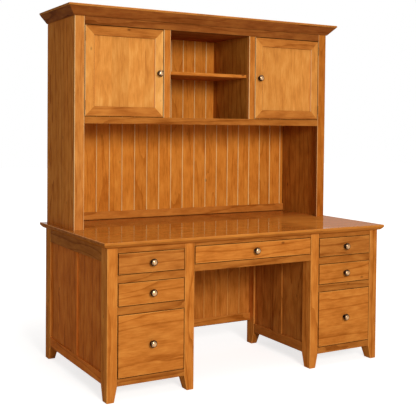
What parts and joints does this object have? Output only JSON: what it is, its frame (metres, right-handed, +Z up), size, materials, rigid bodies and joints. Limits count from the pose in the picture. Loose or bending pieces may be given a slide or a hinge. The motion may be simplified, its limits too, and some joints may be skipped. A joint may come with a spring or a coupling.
{
  "type": "office desk with hutch",
  "caption": "Double-pedestal office desk in honey-stained wood, with drawers, a knee-hole and a tall hutch with panelled doors, open cubbies and a beadboard back.",
  "frame": {"origin": "middle of the bounding box, on the floor", "axes": "+Z up, front faces -Y, +X to the right as seen from the front"},
  "size_m": [1.708, 0.9214, 1.906],
  "materials": {
    "desk_top": "glossy lacquer over honey-stained wood",
    "leg": "satin lacquer over honey-stained wood",
    "side_panel": "satin lacquer over honey-stained wood",
    "rail": "satin lacquer over honey-stained wood",
    "drawer_front": "satin lacquer over honey-stained wood",
    "drawer_box": "clear-sealed pale wood",
    "beadboard": "satin lacquer over honey-stained wood",
    "hutch": "satin lacquer over honey-stained wood",
    "crown": "satin lacquer over honey-stained wood",
    "door_frame": "satin lacquer over honey-stained wood",
    "door_panel": "satin lacquer over honey-stained wood",
    "knob": "polished aged bronze",
    "hinge": "aged dark brass"
  },
  "bodies": {
    "carcass": {"desk_top": "desk_top", "left_front_outer_leg": "leg", "left_rear_outer_leg": "leg", "left_front_knee_leg": "leg", "left_rear_knee_leg": "leg", "right_front_outer_leg": "leg", "right_rear_outer_leg": "leg", "right_front_knee_leg": "leg", "right_rear_knee_leg": "leg", "left_end_panel": "side_panel", "left_knee_panel": "side_panel", "left_pedestal_back": "side_panel", "right_end_panel": "side_panel", "right_knee_panel": "side_panel", "right_pedestal_back": "side_panel", "left_drawer_frame": "rail", "right_drawer_frame": "rail", "centre_drawer_frame": "rail", "modesty_panel": "beadboard", "hutch_back": "beadboard", "hutch_left_side": "hutch", "hutch_right_side": "hutch", "hutch_face_frame": "hutch", "hutch_floor": "hutch", "hutch_ceiling": "hutch", "cubby_left_partition": "hutch", "cubby_right_partition": "hutch", "cubby_shelf": "hutch", "hutch_crown": "crown", "left_lower_hinge": "hinge", "left_upper_hinge": "hinge", "right_lower_hinge": "hinge", "right_upper_hinge": "hinge"},
    "left_upper_drawer": {"left_upper_drawer_front": "drawer_front", "left_upper_drawer_box": "drawer_box", "left_upper_drawer_knob": "knob"},
    "left_middle_drawer": {"left_middle_drawer_front": "drawer_front", "left_middle_drawer_box": "drawer_box", "left_middle_drawer_knob": "knob"},
    "left_file_drawer": {"left_file_drawer_front": "drawer_front", "left_file_drawer_box": "drawer_box", "left_file_drawer_knob": "knob"},
    "right_upper_drawer": {"right_upper_drawer_front": "drawer_front", "right_upper_drawer_box": "drawer_box", "right_upper_drawer_knob": "knob"},
    "right_middle_drawer": {"right_middle_drawer_front": "drawer_front", "right_middle_drawer_box": "drawer_box", "right_middle_drawer_knob": "knob"},
    "right_file_drawer": {"right_file_drawer_front": "drawer_front", "right_file_drawer_box": "drawer_box", "right_file_drawer_knob": "knob"},
    "centre_drawer": {"centre_drawer_front": "drawer_front", "centre_drawer_box": "drawer_box", "centre_drawer_knob": "knob"},
    "left_door": {"left_door_frame": "door_frame", "left_door_panel": "door_panel", "left_door_knob": "knob"},
    "right_door": {"right_door_frame": "door_frame", "right_door_panel": "door_panel", "right_door_knob": "knob"}
  },
  "joints": [
    {"name": "left_upper_drawer_slide", "type": "slide", "parent": "carcass", "child": "left_upper_drawer", "axis": [0, -1, 0], "range_m": [0, 0.4]},
    {"name": "left_middle_drawer_slide", "type": "slide", "parent": "carcass", "child": "left_middle_drawer", "axis": [0, -1, 0], "range_m": [0, 0.4]},
    {"name": "left_file_drawer_slide", "type": "slide", "parent": "carcass", "child": "left_file_drawer", "axis": [0, -1, 0], "range_m": [0, 0.4]},
    {"name": "right_upper_drawer_slide", "type": "slide", "parent": "carcass", "child": "right_upper_drawer", "axis": [0, -1, 0], "range_m": [0, 0.4]},
    {"name": "right_middle_drawer_slide", "type": "slide", "parent": "carcass", "child": "right_middle_drawer", "axis": [0, -1, 0], "range_m": [0, 0.4]},
    {"name": "right_file_drawer_slide", "type": "slide", "parent": "carcass", "child": "right_file_drawer", "axis": [0, -1, 0], "range_m": [0, 0.4]},
    {"name": "centre_drawer_slide", "type": "slide", "parent": "carcass", "child": "centre_drawer", "axis": [0, -1, 0], "range_m": [0, 0.36]},
    {"name": "left_door_hinge", "type": "hinge", "parent": "carcass", "child": "left_door", "pos_m": [-0.7495, 0.03123, 1.5735], "axis": [0, 0, -1], "range_deg": [0, 110]},
    {"name": "right_door_hinge", "type": "hinge", "parent": "carcass", "child": "right_door", "pos_m": [0.7495, 0.03123, 1.5735], "axis": [0, 0, 1], "range_deg": [0, 110]}
  ]
}
